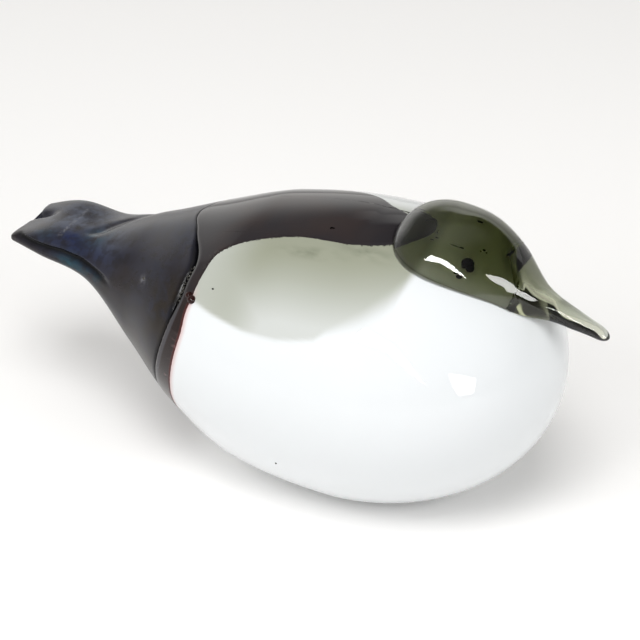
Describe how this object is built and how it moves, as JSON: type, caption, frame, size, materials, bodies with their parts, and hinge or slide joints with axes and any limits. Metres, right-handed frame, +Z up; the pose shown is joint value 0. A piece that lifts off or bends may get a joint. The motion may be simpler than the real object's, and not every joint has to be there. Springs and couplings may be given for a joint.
{
  "type": "glass bird figurine",
  "caption": "Hot-worked glass water bird: white opal bubble body, dark back strip and fanned tail, clear green head and beak. Ornament that rests on a flat foot.",
  "frame": {"origin": "centre of the flat ground on the body's underside", "axes": "+X towards the beak along the bird's length, +Y towards its left side, +Z up"},
  "size_m": [0.2626, 0.122, 0.1278],
  "materials": {
    "opal_white_glass": "polished by the fire, opaque white",
    "aubergine_glass": "glossy, almost opaque",
    "lustred_dark_glass": "fumed, with a faint blue lustre",
    "smoke_green_glass": "clear, glossy"
  },
  "bodies": {
    "root": {"body": "opal_white_glass", "back_band": "aubergine_glass", "tail": "lustred_dark_glass", "head": "smoke_green_glass"}
  },
  "joints": []
}
